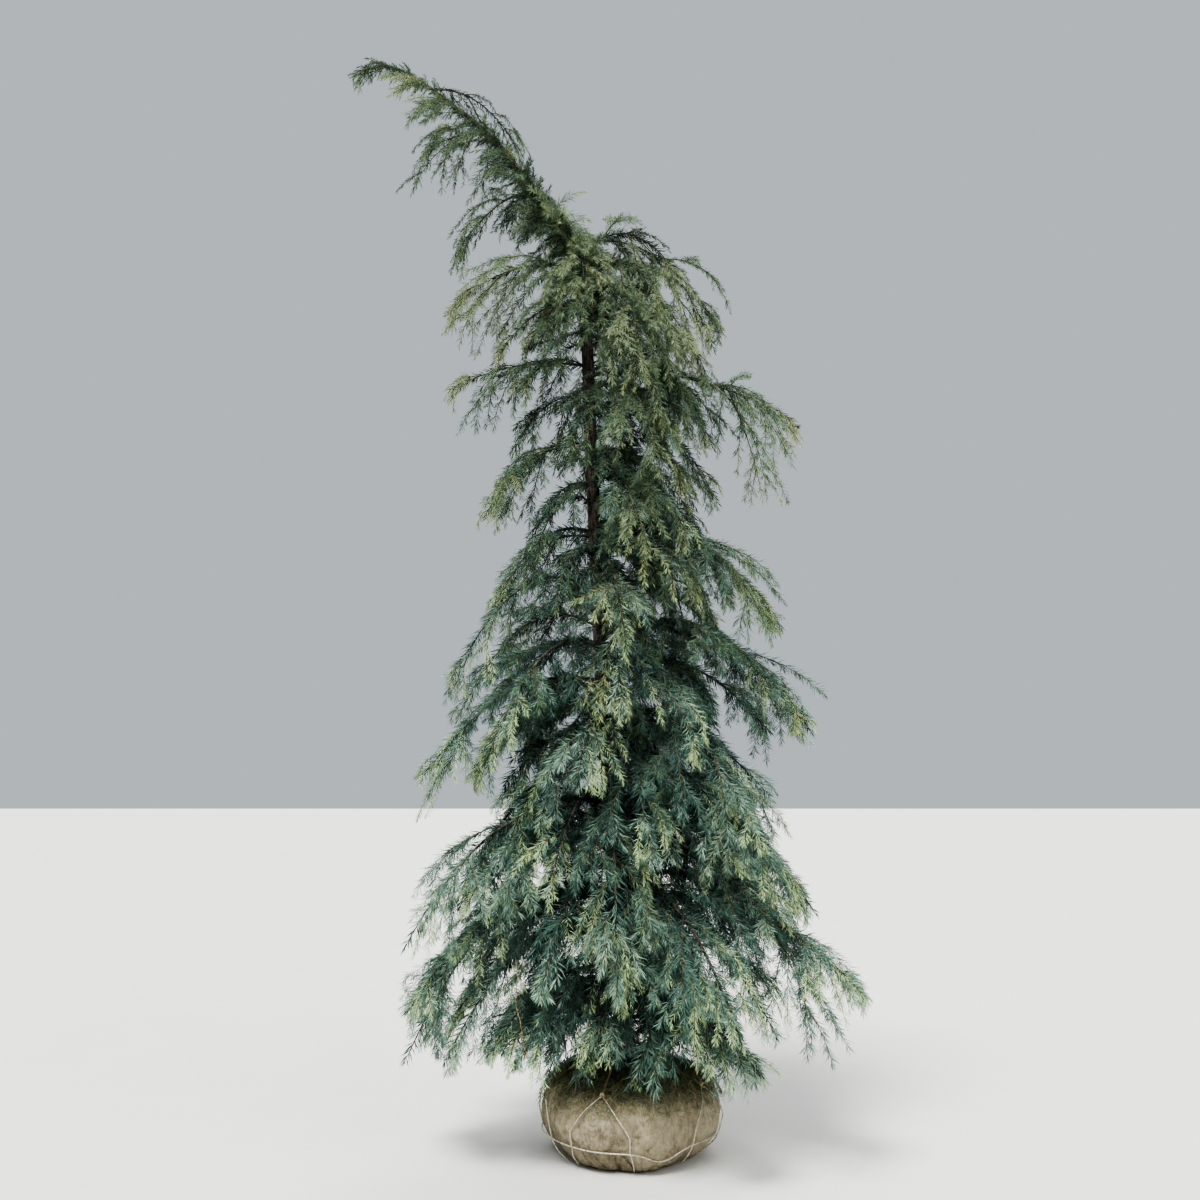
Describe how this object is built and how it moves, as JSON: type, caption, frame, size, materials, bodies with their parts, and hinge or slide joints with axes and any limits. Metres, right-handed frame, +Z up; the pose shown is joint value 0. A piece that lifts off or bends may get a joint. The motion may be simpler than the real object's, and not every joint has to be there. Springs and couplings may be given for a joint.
{
  "type": "deodar cedar tree",
  "caption": "Young weeping deodar cedar with a nodding leader and drooping tiers of boughs, standing on a burlapped root ball held in a roped wire basket.",
  "frame": {"origin": "middle of the flat underside of the root ball, where the plant stands on the ground", "axes": "+Z up the trunk, -Y towards the viewer of the picture, +X to the viewer's right; the leader nods towards -X"},
  "size_m": [2.1577, 1.4058, 4.6949],
  "materials": {
    "bark": "rough grey-brown bark",
    "foliage_low": "matt blue-green needles with pale yellow-green tips",
    "foliage_high": "matt olive-green needles",
    "burlap": "coarse tan burlap with earth stains",
    "wire": "dull galvanised wire",
    "rope": "pale tan twisted jute"
  },
  "bodies": {
    "root": {"leader": "bark", "leader_high_right_foliage": "foliage_high", "leader_low_left_foliage": "foliage_high", "leader_low_right_foliage": "foliage_high", "leader_middle_back_foliage": "foliage_high", "leader_middle_left_foliage": "foliage_high", "leader_tip_foliage": "foliage_high", "root_ball": "burlap", "ropes": "rope", "tier_10_back_foliage": "foliage_high", "tier_10_front_foliage": "foliage_high", "tier_10_left_foliage": "foliage_high", "tier_1_back_left_bough": "bark", "tier_1_back_left_foliage": "foliage_low", "tier_1_back_right_bough": "bark", "tier_1_back_right_foliage": "foliage_low", "tier_1_front_foliage": "foliage_low", "tier_1_front_left_bough": "bark", "tier_1_front_left_foliage": "foliage_low", "tier_1_front_right_bough": "bark", "tier_1_front_right_foliage": "foliage_low", "tier_2_back_left_bough": "bark", "tier_2_back_left_foliage": "foliage_low", "tier_2_back_right_bough": "bark", "tier_2_back_right_foliage": "foliage_low", "tier_2_front_right_bough": "bark", "tier_2_front_right_foliage": "foliage_low", "tier_2_left_bough": "bark", "tier_2_left_foliage": "foliage_low", "tier_2_right_bough": "bark", "tier_2_right_foliage": "foliage_low", "tier_3_back_bough": "bark", "tier_3_back_foliage": "foliage_low", "tier_3_front_bough": "bark", "tier_3_front_foliage": "foliage_low", "tier_3_front_left_bough": "bark", "tier_3_front_left_foliage": "foliage_low", "tier_3_right_bough": "bark", "tier_3_right_foliage": "foliage_low", "tier_4_back_right_foliage": "foliage_low", "tier_4_front_left_foliage": "foliage_low", "tier_4_front_right_foliage": "foliage_low", "tier_4_left_foliage": "foliage_low", "tier_5_back_left_foliage": "foliage_high", "tier_5_front_foliage": "foliage_high", "tier_5_right_foliage": "foliage_high", "tier_6_back_foliage": "foliage_high", "tier_6_front_foliage": "foliage_high", "tier_6_left_foliage": "foliage_high", "tier_6_right_foliage": "foliage_high", "tier_7_back_foliage": "foliage_high", "tier_7_front_right_foliage": "foliage_high", "tier_7_left_foliage": "foliage_high", "tier_8_back_foliage": "foliage_high", "tier_8_left_foliage": "foliage_high", "tier_8_right_foliage": "foliage_high", "tier_9_left_foliage": "foliage_high", "tier_9_right_foliage": "foliage_high", "trunk": "bark", "wire_basket": "wire"}
  },
  "joints": []
}
